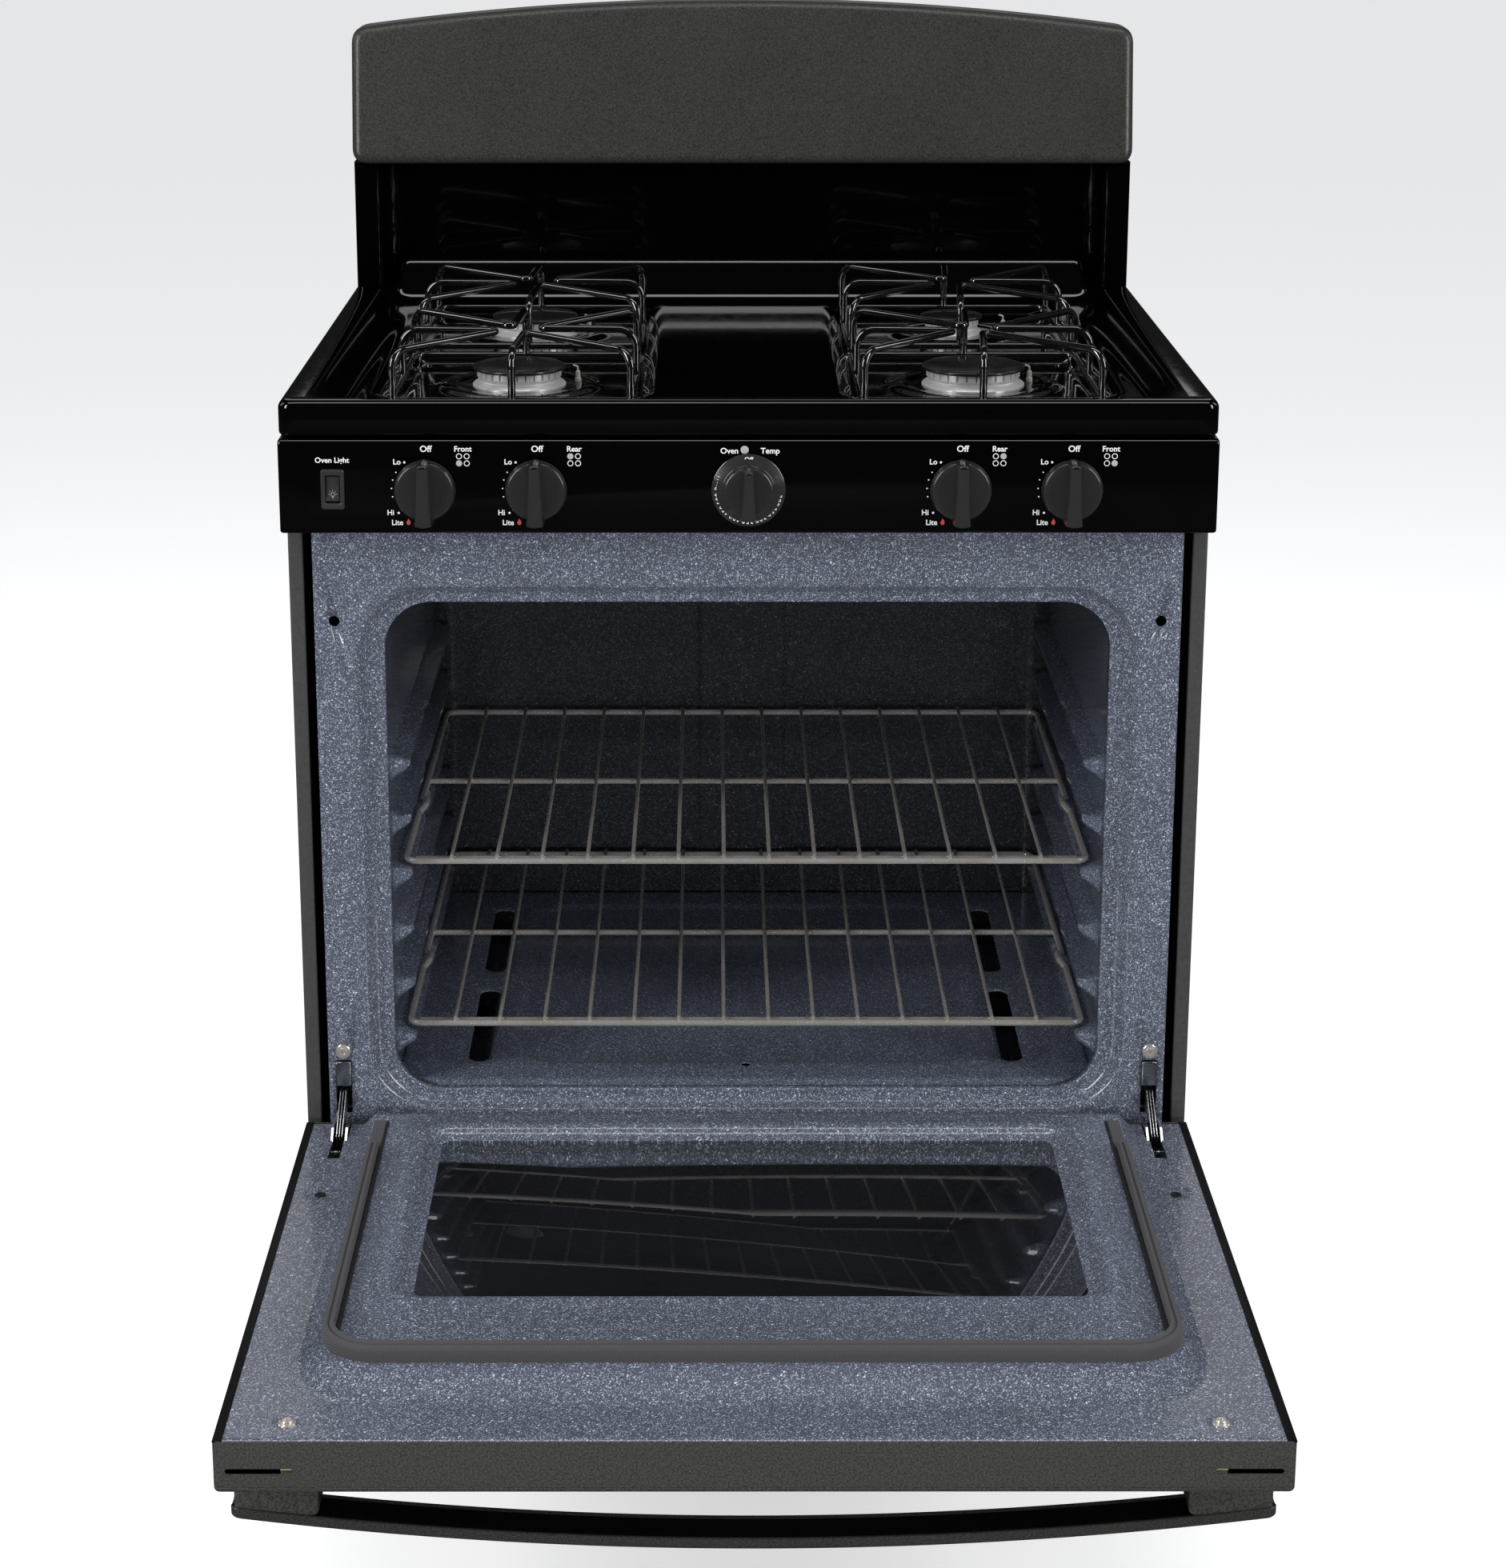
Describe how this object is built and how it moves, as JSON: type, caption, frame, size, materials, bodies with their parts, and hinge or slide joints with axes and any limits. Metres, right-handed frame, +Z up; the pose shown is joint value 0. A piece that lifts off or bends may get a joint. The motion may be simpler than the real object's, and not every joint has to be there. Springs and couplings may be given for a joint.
{
  "type": "freestanding gas range",
  "caption": "Upright gas cooker with open wire grates over round burners, an arched backguard, a window oven with a drop-down door and racks, and a storage drawer below.",
  "frame": {"origin": "on the floor, under the middle of the whole range with its door open", "axes": "+Z up, +Y from the front to the rear wall, +X to the right seen from the front"},
  "size_m": [0.762, 1.177, 1.197],
  "materials": {
    "side_enamel": "fine textured dark grey enamel",
    "galvanised": "galvanised sheet steel",
    "leg_plastic": "matte black nylon",
    "speckled_porcelain": "glossy blue-grey porcelain with fine light specks",
    "cavity_porcelain": "glossy dark blue-grey speckled porcelain",
    "burner_steel": "heat-dulled steel tube",
    "ceramic": "white ceramic",
    "insulation": "glass-fibre wool",
    "lamp_glass": "clear heat-proof glass dome",
    "black_porcelain": "glossy black porcelain enamel",
    "burner_aluminium": "satin cast aluminium",
    "cap_enamel": "semi-gloss black enamel",
    "grate_enamel": "glossy black enamelled wire",
    "brass": "machined brass",
    "switch_plastic": "black moulded plastic",
    "knob_plastic": "smooth black moulded plastic",
    "charcoal_finish": "satin charcoal coated steel",
    "handle_finish": "satin near-black",
    "zinc": "bright zinc plate",
    "door_glass": "dark tinted oven glass",
    "gasket_braid": "dark heat-proof braided gasket",
    "rack_chrome": "bright nickel-chrome wire"
  },
  "bodies": {
    "cabinet": {"side_panels": "side_enamel", "back_panel": "galvanised", "base_frame": "galvanised", "leveling_legs": "leg_plastic", "oven_front_frame": "speckled_porcelain", "oven_cavity": "cavity_porcelain", "oven_floor": "cavity_porcelain", "oven_burner": "burner_steel", "oven_igniter": "ceramic", "broil_burner": "burner_steel", "oven_insulation": "insulation", "oven_lamp": "lamp_glass", "cooktop": "black_porcelain", "burner_heads": "burner_aluminium", "burner_caps": "cap_enamel", "spark_electrodes": "ceramic", "burner_tubes": "burner_aluminium", "manifold_pipe": "galvanised", "burner_valves": "brass", "oven_thermostat": "galvanised", "pressure_regulator": "burner_aluminium", "control_panel": "black_porcelain", "switch_housing": "switch_plastic", "backguard_panel": "charcoal_finish", "backguard_rear_cover": "galvanised", "backsplash": "black_porcelain", "hinge_receivers": "zinc", "hinge_arms": "zinc", "frame_screws": "zinc", "drawer_rails": "galvanised"},
    "door": {"door_shell": "charcoal_finish", "door_outer_glass": "door_glass", "door_liner": "speckled_porcelain", "door_inner_glass": "door_glass", "door_gasket": "gasket_braid", "door_insulation": "insulation", "door_handle": "handle_finish", "handle_brackets": "charcoal_finish", "hinge_channels": "zinc", "hinge_springs": "zinc", "door_screws": "zinc"},
    "drawer": {"drawer_front": "charcoal_finish", "drawer_box": "galvanised"},
    "upper_rack": {"upper_rack": "rack_chrome"},
    "lower_rack": {"lower_rack": "rack_chrome"},
    "light_rocker": {"light_rocker": "switch_plastic"},
    "stem_left_front": {"stem_left_front": "brass"},
    "knob_left_front": {"knob_left_front": "knob_plastic"},
    "stem_left_rear": {"stem_left_rear": "brass"},
    "knob_left_rear": {"knob_left_rear": "knob_plastic"},
    "stem_oven": {"stem_oven": "brass"},
    "oven_dial": {"oven_dial": "knob_plastic"},
    "stem_right_rear": {"stem_right_rear": "brass"},
    "knob_right_rear": {"knob_right_rear": "knob_plastic"},
    "stem_right_front": {"stem_right_front": "brass"},
    "knob_right_front": {"knob_right_front": "knob_plastic"},
    "grate_left_front": {"grate_left_front": "grate_enamel"},
    "grate_left_rear": {"grate_left_rear": "grate_enamel"},
    "grate_right_front": {"grate_right_front": "grate_enamel"},
    "grate_right_rear": {"grate_right_rear": "grate_enamel"}
  },
  "joints": [
    {"name": "door_hinge", "type": "hinge", "parent": "cabinet", "child": "door", "pos_m": [0, -0.0585, 0.267], "axis": [1, 0, 0], "range_deg": [-90, 0]},
    {"name": "drawer_slide", "type": "slide", "parent": "cabinet", "child": "drawer", "axis": [0, -1, 0], "range_m": [0, 0.33]},
    {"name": "upper_rack_slide", "type": "slide", "parent": "cabinet", "child": "upper_rack", "axis": [0, -1, 0], "range_m": [0, 0.28]},
    {"name": "lower_rack_slide", "type": "slide", "parent": "cabinet", "child": "lower_rack", "axis": [0, -1, 0], "range_m": [0, 0.28]},
    {"name": "light_rocker_tilt", "type": "hinge", "parent": "cabinet", "child": "light_rocker", "pos_m": [-0.337, -0.0475, 0.849], "axis": [1, 0, 0], "range_deg": [0, 10]},
    {"name": "left_front_push", "type": "slide", "parent": "cabinet", "child": "stem_left_front", "axis": [0, 1, 0], "range_m": [0, 0.003], "stiffness_N_per_m": 500},
    {"name": "left_front_turn", "type": "hinge", "parent": "stem_left_front", "child": "knob_left_front", "pos_m": [-0.262, -0.0685, 0.849], "axis": [0, -1, 0], "range_deg": [0, 150]},
    {"name": "left_rear_push", "type": "slide", "parent": "cabinet", "child": "stem_left_rear", "axis": [0, 1, 0], "range_m": [0, 0.003], "stiffness_N_per_m": 500},
    {"name": "left_rear_turn", "type": "hinge", "parent": "stem_left_rear", "child": "knob_left_rear", "pos_m": [-0.172, -0.0685, 0.849], "axis": [0, -1, 0], "range_deg": [0, 150]},
    {"name": "oven_push", "type": "slide", "parent": "cabinet", "child": "stem_oven", "axis": [0, 1, 0], "range_m": [0, 0.003], "stiffness_N_per_m": 500},
    {"name": "oven_turn", "type": "hinge", "parent": "stem_oven", "child": "oven_dial", "pos_m": [0, -0.0685, 0.849], "axis": [0, -1, 0], "range_deg": [0, 285]},
    {"name": "right_rear_push", "type": "slide", "parent": "cabinet", "child": "stem_right_rear", "axis": [0, 1, 0], "range_m": [0, 0.003], "stiffness_N_per_m": 500},
    {"name": "right_rear_turn", "type": "hinge", "parent": "stem_right_rear", "child": "knob_right_rear", "pos_m": [0.172, -0.0685, 0.849], "axis": [0, -1, 0], "range_deg": [0, 150]},
    {"name": "right_front_push", "type": "slide", "parent": "cabinet", "child": "stem_right_front", "axis": [0, 1, 0], "range_m": [0, 0.003], "stiffness_N_per_m": 500},
    {"name": "right_front_turn", "type": "hinge", "parent": "stem_right_front", "child": "knob_right_front", "pos_m": [0.262, -0.0685, 0.849], "axis": [0, -1, 0], "range_deg": [0, 150]},
    {"name": "grate_left_front_lift", "type": "slide", "parent": "cabinet", "child": "grate_left_front", "axis": [0, 0, 1], "range_m": [0, 0.1]},
    {"name": "grate_left_rear_lift", "type": "slide", "parent": "cabinet", "child": "grate_left_rear", "axis": [0, 0, 1], "range_m": [0, 0.1]},
    {"name": "grate_right_front_lift", "type": "slide", "parent": "cabinet", "child": "grate_right_front", "axis": [0, 0, 1], "range_m": [0, 0.1]},
    {"name": "grate_right_rear_lift", "type": "slide", "parent": "cabinet", "child": "grate_right_rear", "axis": [0, 0, 1], "range_m": [0, 0.1]}
  ]
}
